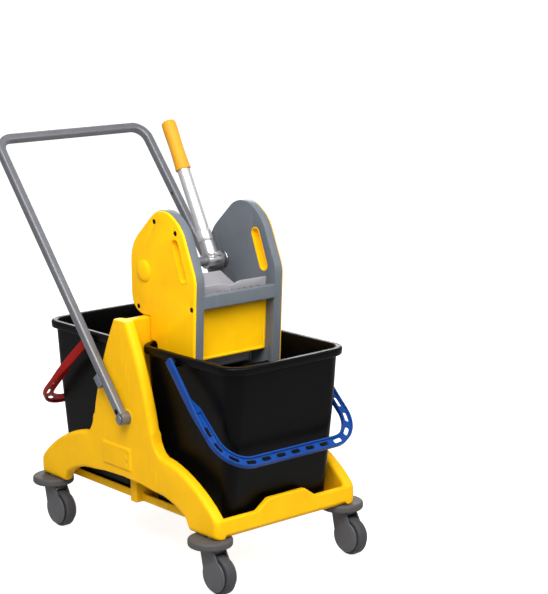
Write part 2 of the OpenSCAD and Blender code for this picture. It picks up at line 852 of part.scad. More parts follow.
// Hollow front rail with a softened face
module front_rail() {
    wall = 3;
    color(GREY) in_wringer() translate([0, -rail_y + rail_t / 2, rail_up + rail_h / 2]) difference() {
        across(-side_in, side_in) rounded_rect(rail_t, rail_h, 4);
        across(-side_in - 1, side_in + 1) rounded_rect(rail_t - 2 * wall, rail_h - 2 * wall, 1);
    }
}
module front_panel() {
    lip = 6;
    color(YELLOW) in_wringer() {
        across(-side_in, side_in)
            polygon([
                [-panel_y, rail_up], [-panel_y + lip, rail_up - panel_h],
                [-panel_y + lip + panel_t, rail_up - panel_h], [-panel_y + panel_t, rail_up]
            ]);
        for (x = [-0.5, 0, 0.5])
            translate([x * side_in * 1.2, 0, 0]) across(-1.5, 1.5)
                polygon([
                    [-panel_y + panel_t - 1, rail_up - 4], [-panel_y + lip + panel_t - 1, rail_up - panel_h],
                    [-panel_y + lip + panel_t + 4, rail_up - panel_h], [-panel_y + panel_t + 2, rail_up - 4]
                ]);
    }
}
// Fixed press grid: a leaning plate with rows of drain slots and a soft notch in its top edge
module press_grid() {
    rise = grid_up + grid_down;
    tilt = atan2(grid_top_y - grid_foot_y, rise);
    tall = rise / cos(tilt);
    half = side_in;
    notch = 6;
    notch_half = 28;
    cols = 9;
    rows = 4;
    color(PALE) in_wringer() translate([0, -grid_foot_y, -grid_down]) rotate([90 + tilt, 0, 0])
        linear_extrude(grid_t) difference() {
            polygon(concat(
                [[-half, 0], [half, 0], [half, tall]],
                [for (k = [6:-1:-6]) [notch_half * k / 6, tall - notch * (1 + cos(30 * k)) / 2]],
                [[-half, tall]]
            ));
            for (c = [0:cols - 1], r = [0:rows - 1])
                translate([(c - (cols - 1) / 2) * 18, 26 + r * 34]) stadium(24, 7);
        }
}
module tie_rods() {
    color(STEEL) in_wringer() for (t = TIES)
        translate([0, t[0], t[1]]) rod(-side_in - tie_grip + 2, side_in + tie_grip - 2, tie_r - run_fit);
}
// Flanged bush through a housing wall, right-hand side
module bush(r_out, r_in) {
    difference() {
        union() {
            rod(side_in, side_in + side_wall, r_out - pin_fit);
            rod(side_in - 2, side_in, r_out + 3);
        }
        rod(side_in - 3, half_w, r_in + run_fit);
    }
}
module shaft_bushes() { color(STEEL) in_wringer() both_sides() shaft_axis() bush(shaft_bush_r, shaft_d / 2); }
module jaw_bushes() { color(PALE) in_wringer() both_sides() jaw_axis() bush(jaw_bush_r, jaw_rod_d / 2); }

// Gears with involute teeth

pressure = 20;
backlash = 0.35;
addendum = 0.8;
dedendum = 1.05;
function roll(rb, r) = let (a = acos(min(1, rb / r))) tan(a) * 180 / PI - a;
// Points of one tooth, centred on angle a, of a gear with z teeth
function tooth(z, a) =
    let (
        rp = gear_module * z / 2,
        rb = rp * cos(pressure),
        low = rp - dedendum * gear_module,
        base = max(rb, low),
        top = rp + addendum * gear_module,
        radii = concat(low < base ? [low] : [], [for (k = [0:4]) base + (top - base) * k / 4]),
        half = [for (r = radii) 90 / z - backlash * 90 / (PI * rp) + roll(rb, rp) - roll(rb, max(r, rb))],
        m = len(radii) - 1
    )
    concat(
        [for (k = [0:m]) polar(radii[k], a - half[k])],
        [for (k = [m:-1:0]) polar(radii[k], a + half[k])]
    );
module pinion() {
    key = shaft_d / 2 + pin_fit;
    color(STEEL) in_wringer() shaft_axis() difference() {
        union() {
            across(gear_x, gear_x + gear_t)
                polygon([for (k = [0:pinion_teeth - 1]) each tooth(pinion_teeth, mesh_angle + 180 + (k + 0.5) * 360 / pinion_teeth)]);
            rod(side_in + side_wall + 0.5, gear_x, shaft_d / 2 + 5);
        }
        rod(side_in, half_w, key);
    }
}
module jaw_sector() {
    pitch = 360 / sector_teeth;
    inner = sector_r - 16;
    hub = jaw_rod_d / 2 + 8;
    first = -4;
    last = 1;
    a0 = mesh_angle + (first - 0.5) * pitch;
    a1 = mesh_angle + (last + 0.5) * pitch;
    color(STEEL) in_wringer() jaw_axis() difference() {
        union() {
            across(gear_x, gear_x + gear_t) {
                polygon(concat(
                    [for (k = [first:last]) each tooth(sector_teeth, mesh_angle + k * pitch)],
                    [for (k = [0:8]) polar(inner, a1 + (a0 - a1) * k / 8)]
                ));
                circle(hub);
                polygon([
                    polar(hub, a1 + 90), polar(hub, mesh_angle - 37), polar(inner - 10, mesh_angle - 3),
                    polar(inner + 3, mesh_angle - 4), polar(inner + 3, a1)
                ]);
            }
            rod(side_in + side_wall + 0.5, gear_x, jaw_rod_d / 2 + 5);
        }
        rod(side_in, half_w, jaw_rod_d / 2 + pin_fit);
    }
}
module pinion_right() { pinion(); }
module pinion_left() { mirror([1, 0, 0]) pinion(); }
module jaw_sector_right() { jaw_sector(); }
module jaw_sector_left() { mirror([1, 0, 0]) jaw_sector(); }

// Lever

module lever_shaft() {
    end = gear_x + gear_t + 1;
    color(STEEL) in_wringer() shaft_axis() rod(-end, end, shaft_d / 2);
}
// Frame of the lever: +Z along the lever from the shaft's axis
module in_lever() {
    in_wringer() translate([lever_x, shaft_y, shaft_up]) rotate([-lever_lean, 0, 0]) children();
}
module lever_hub() {
    color(DARK) in_lever() difference() {
        union() {
            rod(-hub_w / 2, hub_w / 2, hub_r);
            cylinder(h = tube_s, r = socket_r);
            translate([-7, -hub_r - 7, -9]) cube([14, 14, 18]);
        }
        rod(-hub_w, hub_w, shaft_d / 2 + pin_fit);
        translate([0, 0, ferrule_s]) cylinder(h = tube_s, r = lever_d / 2 + pin_fit);
        translate([-hub_w, -hub_r - 8, -1]) cube([2 * hub_w, 9, 2]);
    }
}
module lever_ferrule() {
    z0 = tube_s;
    r = lever_d / 2;
    color(STEEL) in_lever() translate([0, 0, z0]) difference() {
        union() {
            cylinder(h = ferrule_len - 8, r = socket_r);
            translate([0, 0, ferrule_len - 8]) cylinder(h = 8, r1 = socket_r, r2 = r + 1.2);
        }
        translate([0, 0, -1]) cylinder(h = ferrule_len + 2, r = r + pin_fit);
    }
}
module lever_tube() {
    color(PALE) in_lever() translate([0, 0, ferrule_s]) difference() {
        cylinder(h = lever_len - 12 - ferrule_s, r = lever_d / 2);
        translate([0, 0, -1]) cylinder(h = lever_len, r = lever_d / 2 - 2);
    }
}
module lever_grip() {
    r = lever_d / 2;
    r_out = r + 3;
    edge = 4.5;
    color(YELLOW) in_lever() translate([0, 0, grip_s]) difference() {
        rotate_extrude() polygon(concat(
            [[0, 0], [r_out - 1, 0], [r_out, 2]],
            [for (k = [0:5]) [r_out - edge, grip_len - edge] + polar(edge, 18 * k)],
            [[0, grip_len]]
        ));
        translate([0, 0, -1]) cylinder(h = grip_len - 11, r = r + pin_fit);
    }
}

// Jaw

JAW_BEND = [-54, 28];
JAW_LIP = [-12, 72];
jaw_t = 5;
jaw_half = side_in - 4;
// Outline of a plate of thickness t that runs from p over the bend q to r
function bent_plate(p, q, r, t) =
    let (
        u = unit(q - p),
        v = unit(r - q),
        n = [-u[1], u[0]] * t / 2,
        m = [-v[1], v[0]] * t / 2,
        k = (n + m) / (1 + n * m * 4 / (t * t)),
        soft = t * 0.45
    )
    [
        [p[0] - n[0], p[1] - n[1], 0.5], [q[0] - k[0], q[1] - k[1], 6], [r[0] - m[0], r[1] - m[1], soft],
        [r[0] + m[0], r[1] + m[1], soft], [q[0] + k[0], q[1] + k[1], 12], [p[0] + n[0], p[1] + n[1], 0.5]
    ];
module press_jaw() {
    foot = [jaw_y, -jaw_down];
    run = JAW_BEND - foot;
    lean = atan2(run[0], run[1]);
    rows = 3;
    cols = 9;
    pitch = 18;
    row_from = 40;
    row_pitch = 34;
    slot_l = 24;
    slot_w = 7;
    corner_w = 22;
    corner_h = 28;
    color(PALE) in_wringer() difference() {
        union() {
            across(-jaw_half, jaw_half) {
                polygon(rounded(bent_plate(foot, JAW_BEND, JAW_LIP, jaw_t)));
                translate(foot) circle(jaw_rod_d / 2 + 4);
            }
            for (k = [0:cols])
                translate([(k - cols / 2) * pitch - 1.5, 0, 0]) across(0, 3)
                    polygon([
                        foot + 0.16 * run, foot + 0.98 * run, foot + 0.94 * run + [-6, 0], foot + 0.2 * run + [-8, 0]
                    ]);
        }
        jaw_axis() rod(-jaw_half - 1, jaw_half + 1, jaw_rod_d / 2 + pin_fit);
        both_sides() rotate([90, 0, 0]) linear_extrude(-4 * JAW_BEND[0], center = true)
            translate([jaw_half, JAW_LIP[1]]) polygon([[-corner_w, jaw_t], [1, jaw_t], [1, -corner_h], [0, -corner_h]]);
        for (c = [0:cols - 1], r = [0:rows - 1])
            jaw_axis() rotate([-lean, 0, 0])
                translate([(c - (cols - 1) / 2) * pitch, 0, row_from + r * row_pitch]) rotate([90, 0, 0])
                    linear_extrude(8 * jaw_t, center = true) stadium(slot_l, slot_w);
    }
}
module jaw_rod() {
    end = gear_x + gear_t + 1;
    color(STEEL) in_wringer() jaw_axis() rod(-end, end, jaw_rod_d / 2);
}

// Drawing

base_front();
base_rear();
centre_tower();
base_bolts();
for (c = CASTORS) {
    bumper(c);
    king_pin(c);
    fork(c);
    wheel(c);
    tyre(c);
    axle(c);
}
bucket_front();
bucket_rear();
bail_front();
bail_rear();
push_handle();
handle_bolts();
handle_washers();
handle_rests();
side_left();
side_right();
cover_left();
cover_right();
front_rail();
front_panel();
press_grid();
tie_rods();
cover_screws();
shaft_bushes();
jaw_bushes();
lever_shaft();
pinion_left();
pinion_right();
lever_hub();
lever_ferrule();
lever_tube();
lever_grip();
press_jaw();
jaw_rod();
jaw_sector_left();
jaw_sector_right();
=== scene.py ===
"""Looks of the double mop bucket trolley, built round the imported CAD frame."""
import json
import math

import bmesh
import bpy
from mathutils import Matrix, Vector


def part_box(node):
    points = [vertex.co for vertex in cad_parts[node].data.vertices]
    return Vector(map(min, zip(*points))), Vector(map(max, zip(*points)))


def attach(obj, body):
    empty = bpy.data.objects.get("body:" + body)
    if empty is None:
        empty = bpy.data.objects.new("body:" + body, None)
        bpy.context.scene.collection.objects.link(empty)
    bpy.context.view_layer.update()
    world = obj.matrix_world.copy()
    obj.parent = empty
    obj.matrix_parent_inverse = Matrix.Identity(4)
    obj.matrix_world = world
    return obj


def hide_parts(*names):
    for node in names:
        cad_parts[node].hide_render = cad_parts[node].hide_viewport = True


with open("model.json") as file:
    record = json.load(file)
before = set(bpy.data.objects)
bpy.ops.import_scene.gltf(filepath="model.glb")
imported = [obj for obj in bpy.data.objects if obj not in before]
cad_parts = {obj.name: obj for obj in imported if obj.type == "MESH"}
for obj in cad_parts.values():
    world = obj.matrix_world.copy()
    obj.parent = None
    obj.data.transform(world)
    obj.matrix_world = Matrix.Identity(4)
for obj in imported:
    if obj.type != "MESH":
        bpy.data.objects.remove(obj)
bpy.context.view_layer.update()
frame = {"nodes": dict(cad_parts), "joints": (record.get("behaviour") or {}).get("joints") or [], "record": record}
nodes = frame["nodes"]

# Forms are worked out in millimetres, and Blender's objects are in metres
MM = 0.001
SIDES = (-1, 1)
ENDS = {"front": -1, "rear": 1}
CORNERS = ("front_left", "front_right", "rear_left", "rear_right")
SLOT_OF = {sub["node"]: sub["material_slot"] for sub in frame["record"]["subparts"]}
PIVOT = {joint["name"]: [c / MM for c in joint["pos_m"]] for joint in frame["joints"] if joint.get("pos_m")}


# Materials

def linear(red, green, blue):
    """sRGB bytes as the linear colour that shaders take."""
    def channel(c):
        c /= 255
        return c / 12.92 if c <= 0.04045 else ((c + 0.055) / 1.055) ** 2.4
    return (channel(red), channel(green), channel(blue), 1.0)


def shade(color, factor):
    """A lighter or darker tone of a linear colour."""
    return tuple(min(1.0, c * factor) for c in color[:3]) + (1.0,)


class Shader:
    """A material's node tree, with short ways to add and join nodes."""

    def __init__(self, name):
        self.material = bpy.data.materials.new(name)
        self.material.use_nodes = True
        self.tree = self.material.node_tree
        self.bsdf = self.tree.nodes["Principled BSDF"]
        self.coords = self.add("ShaderNodeTexCoord").outputs["Object"]

    def put(self, socket, value):
        """Links a socket to another one, or sets it to a plain value."""
        if isinstance(value, bpy.types.NodeSocket):
            self.tree.links.new(value, socket)
        else:
            socket.default_value = value

    def add(self, kind, inputs=None, **settings):
        made = self.tree.nodes.new(kind)
        for key, value in settings.items():
            setattr(made, key, value)
        for key, value in (inputs or {}).items():
            self.put(made.inputs[key], value)
        return made

    def wire(self, name, value):
        """Sets or links one of the surface's own sockets."""
        self.put(self.bsdf.inputs[name], value)

    def combine(self, operation, one, two):
        return self.add("ShaderNodeMath", {0: one, 1: two}, operation=operation).outputs[0]

    def noise(self, scale, detail=3.0, rough=0.55, stretch=(1, 1, 1)):
        place = self.add("ShaderNodeMapping", {"Vector": self.coords, "Scale": stretch}).outputs[0]
        inputs = {"Vector": place, "Scale": scale, "Detail": detail, "Roughness": rough}
        return self.add("ShaderNodeTexNoise", inputs).outputs["Fac"]

    def spread(self, value, low=0.0, high=1.0, start=0.3, end=0.7):
        """The stretch from start to end of a value, spread out from low to high."""
        inputs = {"Value": value, "From Min": start, "From Max": end, "To Min": low, "To Max": high}
        return self.add("ShaderNodeMapRange", inputs).outputs[0]

    def tones(self, value, dark, light):
        inputs = {"Factor": value, "A": dark, "B": light}
        return self.add("ShaderNodeMix", inputs, data_type="RGBA").outputs["Result"]

    def bump(self, height, strength, distance, normal=None):
        inputs = {"Height": height, "Strength": strength, "Distance": distance}
        if normal:
            inputs["Normal"] = normal
        return self.add("ShaderNodeBump", inputs).outputs[0]


CLOUD = 0.06


def plastic(name, color, rough, grain=0.25, scuff=0.12, shine=0.35):
    """Moulded plastic: cloudy colour, uneven gloss, fine mould grain and rubbed places."""
    s = Shader(name)
    blotch = s.spread(s.noise(scale=14, detail=4))
    cloudy = s.tones(blotch, shade(color, 1 - CLOUD), shade(color, 1 + CLOUD))
    streak = s.spread(s.noise(scale=90, detail=5, rough=0.7, stretch=(1, 1, 0.18)), start=0.56, end=0.74)
    s.wire("Base Color", s.tones(streak, cloudy, shade(color, 1 + scuff)))
    s.wire("Roughness", s.spread(s.noise(scale=45, detail=4, rough=0.65), rough - 0.06, rough + 0.08))
    s.wire("Specular IOR Level", shine)
    ripple = s.bump(s.noise(scale=160, detail=2), strength=0.10, distance=0.4 * MM)
    s.wire("Normal", s.bump(s.noise(scale=1400, detail=2), grain, 0.12 * MM, ripple))
    return s.material


def metal(name, color, rough, paint=0.0, grain=0.0, grain_scale=500):
    """Bare or painted metal: smudged tone and gloss, with a fine grain where it is painted or cast."""
    s = Shader(name)
    smudge = s.spread(s.noise(scale=30, detail=5, rough=0.65))
    s.wire("Base Color", s.tones(smudge, shade(color, 0.90), shade(color, 1.06)))
    s.wire("Metallic", 1.0 - paint)
    s.wire("Roughness", s.spread(s.noise(scale=70, detail=4, rough=0.7), rough - 0.05, rough + 0.09))
    if grain:
        s.wire("Normal", s.bump(s.noise(grain_scale, rough=0.6), grain, 0.08 * MM))
    return s.material


MATERIALS = {
    "base_yellow": plastic("base_yellow", linear(246, 186, 12), 0.46, grain=0.2, shine=0.10),
    "cover_yellow": plastic("cover_yellow", linear(250, 190, 10), 0.40, grain=0.1, shine=0.10),
    "housing_grey": plastic("housing_grey", linear(98, 104, 111), 0.48, grain=0.3, shine=0.3),
    "press_grey": plastic("press_grey", linear(154, 152, 157), 0.42, grain=0.15),
    "bucket_black": plastic("bucket_black", linear(4, 4, 4), 0.34, grain=0.06, scuff=0.6, shine=0.10),
    "bail_blue": plastic("bail_blue", linear(15, 60, 130), 0.40, grain=0.15, shine=0.14),
    "bail_red": plastic("bail_red", linear(148, 22, 18), 0.42, grain=0.15, shine=0.12),
    "handle_paint": metal("handle_paint", linear(122, 123, 128), 0.44, 0.45, grain=0.2, grain_scale=1100),
    "steel": metal("steel", linear(188, 189, 192), 0.28),
    "hub_iron": metal("hub_iron", linear(196, 196, 198), 0.36, paint=0.15, grain=0.2),
    "tube_chrome": metal("tube_chrome", linear(214, 214, 216), 0.30, paint=0.35),
    "grip_yellow": plastic("grip_yellow", linear(212, 150, 36), 0.5, grain=0.3, shine=0.2),
    "bumper_grey": plastic("bumper_grey", linear(76, 74, 73), 0.62, grain=0.3),
    "fork_grey": plastic("fork_grey", linear(70, 70, 72), 0.52, grain=0.3),
    "wheel_grey": plastic("wheel_grey", linear(79, 79, 82), 0.5, grain=0.25),
    "tyre_grey": plastic("tyre_grey", linear(58, 58, 61), 0.62, grain=0.35),
}


def give(piece, slot):
    """Puts a slot's material on the whole piece."""
    piece.data.materials.clear()
    piece.data.materials.append(MATERIALS[slot])


# Mesh tools

WELD_GAP = 0.002 * MM
FLAT_ANGLE = math.radians(0.4)
BEVEL_ANGLE = math.radians(32)
SMOOTHING = 0.5


def new_piece(name, mesh, body, slot, *replaced):
    """A piece that rides on a body, and stands for the CAD nodes named last."""
    piece = bpy.data.objects.new(name, mesh)
    bpy.context.scene.collection.objects.link(piece)
    give(piece, slot)
    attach(piece, body)
    if replaced:
        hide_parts(*replaced)
    return piece


def smooth_shaded(mesh):
    mesh.polygons.foreach_set("use_smooth", [True] * len(mesh.polygons))
    return mesh


def weld(piece):
    piece.modifiers.new("weld", "WELD").merge_threshold = WELD_GAP


def smooth(piece, label, rounds, group=""):
    soft = piece.modifiers.new(label, "SMOOTH")
    soft.factor = SMOOTHING
    soft.iterations = rounds
    soft.vertex_group = group


def round_edges(piece, width):
    """Softens a CAD node's sharp edges without touching its own vertices."""
    weld(piece)
    flat = piece.modifiers.new("flat", "DECIMATE")
    flat.decimate_type = "DISSOLVE"
    flat.angle_limit = FLAT_ANGLE
    bevel = piece.modifiers.new("bevel", "BEVEL")
    bevel.width = width
    bevel.segments = 3
    bevel.limit_method = "ANGLE"
    bevel.angle_limit = BEVEL_ANGLE
    bevel.use_clamp_overlap = True
    bevel.harden_normals = True


def softened(name, joined, voxel, rounds, faces_kept):
    """Mesh of several CAD nodes as one: fine voxels, smoothed so that edges and corners turn soft."""
    gather = bmesh.new()
    for node in joined:
        gather.from_mesh(nodes[node].data)
    plain = bpy.data.meshes.new(name + "_work")
    gather.to_mesh(plain)
    gather.free()
    work = bpy.data.objects.new(name + "_work", plain)
    bpy.context.scene.collection.objects.link(work)
    weld(work)
    grid = work.modifiers.new("grid", "REMESH")
    grid.mode = "VOXEL"
    grid.voxel_size = voxel
    smooth(work, "soft", rounds)
    work.modifiers.new("thin", "DECIMATE").ratio = faces_kept
    shown = work.evaluated_get(bpy.context.evaluated_depsgraph_get())
    mesh = smooth_shaded(bpy.data.meshes.new_from_object(shown))
    bpy.data.objects.remove(work)
    return mesh


def blend_zone(piece, low_z, high_z, rounds):
    """Extra smoothing between two heights, so that the forms above and below run into each other."""
    middle, half = (low_z + high_z) / 2, (high_z - low_z) / 2
    zone = piece.vertex_groups.new(name="zone")
    for vertex in piece.data.vertices:
        weight = 1 - abs(vertex.co.z - middle) / half
        if weight > 0:
            zone.add([vertex.index], min(1.0, 2 * weight), "REPLACE")
    smooth(piece, "zone", rounds, zone.name)


def arc(x, y, radius, start, end, steps):
    """Points of a circle between two angles in degrees, both ends among them."""
    turns = [math.radians(start + (end - start) * k / steps) for k in range(steps + 1)]
    return [(x + radius * math.cos(t), y + radius * math.sin(t)) for t in turns]


def between(start, end, steps):
    """Points on a straight line, without its ends."""
    return [tuple(a + (b - a) * (k / steps) for a, b in zip(start, end)) for k in range(1, steps)]


def ring(half_x, low_y, high_y, radius, z, per_corner=14, per_side=10, bow=0.0):
    """Points round a rounded rectangle; bow draws in the corners of its high end, which then swells."""
    mid, half_y = (low_y + high_y) / 2, (high_y - low_y) / 2
    corners = []
    for quarter, (sx, sy) in enumerate(((1, 1), (-1, 1), (-1, -1), (1, -1))):
        x, y = sx * (half_x - radius), mid + sy * (half_y - radius)
        corners.append(arc(x, y, radius, 90 * quarter, 90 * (quarter + 1), per_corner))
    outline = []
    for corner, following in zip(corners, corners[1:] + corners[:1]):
        outline += corner + between(corner[-1], following[0], per_side)
    return [(x, y - bow * (x / half_x) ** 2 * max(0.0, (y - mid) / half_y), z) for x, y in outline]


def skin(rings):
    """Points and faces of a closed surface through rings of equal count, capped at both ends."""
    n = len(rings[0])
    last = (len(rings) - 1) * n
    faces = []
    for low in range(0, last, n):
        for i in range(n):
            k = (i + 1) % n
            faces.append((low + i, low + k, low + n + k, low + n + i))
    faces.append(tuple(reversed(range(n))))
    faces.append(tuple(range(last, last + n)))
    return [point for loop in rings for point in loop], faces


def lathe(profile, origin, axis, count=48):
    """Points and faces of a profile of (distance, radius) turned about a line."""
    axis = Vector(axis).normalized()
    one = axis.orthogonal().normalized()
    two = axis.cross(one)
    turns = [2 * math.pi * k / count for k in range(count)]
    rings = []
    for along, radius in profile:
        centre = Vector(origin) + axis * along
        rings.append([tuple(centre + radius * (one * math.cos(t) + two * math.sin(t))) for t in turns])
    return skin(rings)


def mesh_of(name, *solids):
    """One mesh, in metres, from several lists of points and faces in millimetres."""
    points, faces = [], []
    for solid_points, solid_faces in solids:
        faces += [tuple(i + len(points) for i in face) for face in solid_faces]
        points += [tuple(c * MM for c in point) for point in solid_points]
    mesh = bpy.data.meshes.new(name)
    mesh.from_pydata(points, [], faces)
    work = bmesh.new()
    work.from_mesh(mesh)
    bmesh.ops.recalc_face_normals(work, faces=work.faces)
    work.to_mesh(mesh)
    work.free()
    return smooth_shaded(mesh)


def turned_pair(name, profile, centre, body, slot, count=48):
    """The same turned form on both sides of a point, each facing away from it."""
    forms = [lathe(profile, centre, (side, 0, 0), count) for side in SIDES]
    new_piece(name, mesh_of(name, *forms), body, slot)


# Buckets: the rear one's sizes, and the front one is its mirror image

FOOT_Z, RIM_Z = 115, 450
RIM_HALF, RIM_INNER, RIM_OUTER = 145.5, 24, 314
SIDE_TAPER, INNER_TAPER, OUTER_TAPER = 12, 14, 40
RIM_CORNER, FOOT_CORNER, LEAST_CORNER = 33, 20, 3
END_BOW, BOW_START, BOW_FULL = 5.0, RIM_Z - 110, RIM_Z - 10
BAIL_BOSS = [(144, 9), (161.7, 9), (162.4, 8.7), (162.7, 8), (162.7, 5.05), (147.2, 5.05)]


def bucket_profile():
    """The wall's section, from the underside over the rolled rim to the inside, as (outward, height)."""
    underside = [(-40, FOOT_Z + 3), (-15, FOOT_Z + 3), (-13, FOOT_Z + 0.3)]
    underside += arc(-7, FOOT_Z + 7, 7, 270, 360, 6)
    wall = [(0, FOOT_Z + 9 + (RIM_Z - 90 - FOOT_Z) * k / 8) for k in range(1, 9)]
    wall += [(0, RIM_Z - 60), (0, RIM_Z - 34), (0, RIM_Z - 8)]
    rim = arc(2, RIM_Z - 7, 2, 180, 90, 3) + arc(4.5, RIM_Z - 7, 2, 90, 0, 3)
    rim += arc(8.6, RIM_Z - 14.0, 2.2, 180, 360, 6)
    rim += arc(5.2, RIM_Z - 5.8, 5.8, 0, 90, 7) + arc(0.5, RIM_Z - 4.5, 4.5, 90, 180, 6)
    inside = [(-3.4, RIM_Z - 30), (-3, RIM_Z - 60), (-3, RIM_Z - 160), (-3, FOOT_Z + 60), (-3, FOOT_Z + 18)]
    inside += arc(-13, FOOT_Z + 13, 10, 360, 270, 6) + [(-40, FOOT_Z + 3.2)]
    return underside + wall + rim + inside


def bucket_ring(out, z):
    """The bucket's outline at a height, out from its wall by so much."""
    sunk = 1 - (z - FOOT_Z) / (RIM_Z - FOOT_Z)
    corner = RIM_CORNER + (FOOT_CORNER - RIM_CORNER) * sunk + out
    bow = END_BOW * max(0.0, min(1.0, (z - BOW_START) / (BOW_FULL - BOW_START)))
    return ring(RIM_HALF - SIDE_TAPER * sunk + out, RIM_INNER + INNER_TAPER * sunk - out,
                RIM_OUTER - OUTER_TAPER * sunk + out, max(corner, LEAST_CORNER), z, bow=bow)


def make_bucket(end, way):
    """Bucket with a rolled rim, and bosses that the bail's arms turn on, in place of the CAD one."""
    rings = [[(x * -way, y * way, h) for x, y, h in bucket_ring(out, z)] for out, z in bucket_profile()]
    bosses = [lathe(BAIL_BOSS, PIVOT[f"bail_{end}_swing"], (side, 0, 0)) for side in SIDES]
    name = f"bucket_{end}_moulding"
    new_piece(name, mesh_of(name, skin(rings), *bosses), "trolley", "bucket_black", "bucket_" + end)


for end, way in ENDS.items():
    make_bucket(end, way)


# Base and tower as one moulding

CHASSIS_VOXEL, CHASSIS_ROUNDS, CHASSIS_FACES_KEPT = 1.6 * MM, 6, 0.35
SHOULDER_LOW, SHOULDER_HIGH, SHOULDER_ROUNDS = 252 * MM, 306 * MM, 26


def make_chassis():
    """Base halves and tower with soft edges, run together at the shoulder between tower and legs."""
    joined = ("base_front", "base_rear", "centre_tower")
    mesh = softened("chassis_moulding", joined, CHASSIS_VOXEL, CHASSIS_ROUNDS, CHASSIS_FACES_KEPT)
    chassis = new_piece("chassis_moulding", mesh, "trolley", "base_yellow", *joined)
    blend_zone(chassis, SHOULDER_LOW, SHOULDER_HIGH, SHOULDER_ROUNDS)


make_chassis()


# Wringer panel

PANEL_DROP, PANEL_LEAN, PANEL_CORNER = 8, 6, 4
PANEL_BORDER = [(0, -4), (0, -1.6), (0.4, -0.6), (1.4, 0), (4.6, 0), (5.4, -0.4), (6.0, -1.4), (7.0, -1.6)]


def make_panel():
    """Front panel with a raised border of (inset, depth), in place of the plain CAD panel."""
    low, high = (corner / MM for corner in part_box("front_panel"))
    low.z -= PANEL_DROP
    half = (high.z - low.z) / 2
    rings = []
    for inset, depth in PANEL_BORDER:
        corner = max(PANEL_CORNER - inset, 1)
        flat = ring(high.x - inset, inset - half, half - inset, corner, 0, per_corner=5, per_side=6)
        rings.append([(x, low.y + PANEL_LEAN * (half - up) / (2 * half) - depth, low.z + half + up)
                      for x, up, _ in flat])
    mesh = mesh_of("panel_moulding", skin(rings))
    new_piece("panel_moulding", mesh, "wringer", "cover_yellow", "front_panel")


make_panel()


# Bails: the broad straps of the arms

BAIL_LEAN = math.radians(43)
STRAP_EDGE = 1
# Distance from the pivot, half breadth, and the inner and outer face's distance from the trolley's middle
STRAP_SECTIONS = [
    (-9, 7.2, 163.15, 169.2), (-7, 9.2, 163.15, 169.2), (-4, 10, 163.15, 169.2), (45, 10, 167.6, 173.6),
    (75, 9.8, 170.5, 176.5), (100, 9.0, 173.0, 179.0), (126, 7.4, 175.5, 181.5), (138, 6.7, 177.0, 182.0),
    (152, 6.0, 178.0, 182.05), (166, 5.4, 178.3, 182.05), (180, 5.1, 178.4, 182.05)]


def make_straps(end, way):
    """Straps of a bail's two arms, broad at the pivot and running out on the grip's outer edge."""
    down = Vector((0, way * math.cos(BAIL_LEAN), -math.sin(BAIL_LEAN)))
    across = Vector((1, 0, 0)).cross(down)
    solids = []
    for side in SIDES:
        rings = []
        for along, wide, inner, outer in STRAP_SECTIONS:
            near, far, flat = inner + STRAP_EDGE, outer - STRAP_EDGE, wide - STRAP_EDGE
            loop = [(inner, -flat), (near, -wide), (far, -wide), (outer, -flat),
                    (outer, flat), (far, wide), (near, wide), (inner, flat)]
            place = Vector(PIVOT[f"bail_{end}_swing"]) + down * along
            rings.append([tuple(place + across * off + Vector((side * x, 0, 0))) for x, off in loop])
        solids.append(skin(rings))
    name = f"bail_{end}_straps"
    new_piece(name, mesh_of(name, *solids), "bail_" + end, SLOT_OF["bail_" + end])


for end, way in ENDS.items():
    make_straps(end, way)


# Castors: round guards on both sides of the wheels

GUARD = [(13.3, 8), (13.3, 31.6), (13.8, 32.6), (14.8, 33.0), (16.2, 32.8), (17.2, 32.0), (17.6, 30.8),
         (17.1, 29.8), (17.1, 29.0), (17.7, 28.2), (18.6, 20), (19.2, 11), (19.4, 1)]

for corner in CORNERS:
    low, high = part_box("tyre_" + corner)
    middle = (low + high) / (2 * MM)
    turned_pair("guards_" + corner, GUARD, middle, "castor_" + corner, "wheel_grey", count=72)


# Lever: collar, tube and grip, turned about the line of the lever

LEVER_X = 64
LEVER_LEAN = math.radians(27.4)
TUBE_RADIUS = 13.5


def make_lever():
    """A collar with a groove over the hub, a tube with rolled ends, and a waisted grip with a rounded end."""
    collar = [(40.1, 13.56), (40.1, 14.4), (41.4, 14.4), (41.6, 15.6), (42.4, 16.2), (50.0, 16.1),
              (58.0, 15.6), (64.6, 15.0), (65.6, 14.6), (66.0, 13.56)]
    tube = [(26.5, 11.6), (26.5, 13.1), (26.9, TUBE_RADIUS)]
    tube += [(27 + 12.5 * k, TUBE_RADIUS) for k in range(23)]
    tube += [(302.6, TUBE_RADIUS), (303.0, 13.1), (303.0, 11.6)]
    grip = [(203.4, 13.6), (203.4, 15.6), (204.2, 16.4), (206.5, 16.5), (209, 16.2), (214, 15.7)]
    grip += [(214 + 8 * k, 15.2 + 0.35 * math.cos(math.pi * k / 5)) for k in range(1, 11)]
    grip += [(304, 15.5), (309.5, 15.2), (312.4, 14.0), (314.2, 11.5), (314.9, 7.5), (315.0, 1.0)]
    foot = (LEVER_X, *PIVOT["lever_pull"][1:])
    way = (0, math.sin(LEVER_LEAN), math.cos(LEVER_LEAN))
    for name, profile, slot, node in (
            ("collar_moulding", collar, "tube_chrome", "lever_ferrule"),
            ("tube_moulding", tube, "tube_chrome", "lever_tube"),
            ("grip_moulding", grip, "grip_yellow", "lever_grip")):
        new_piece(name, mesh_of(name, lathe(profile, foot, way, count=64)), "lever", slot, node)


make_lever()


# Domes on the covers over the ends of the lever's shaft, and ring plates where it enters the housings

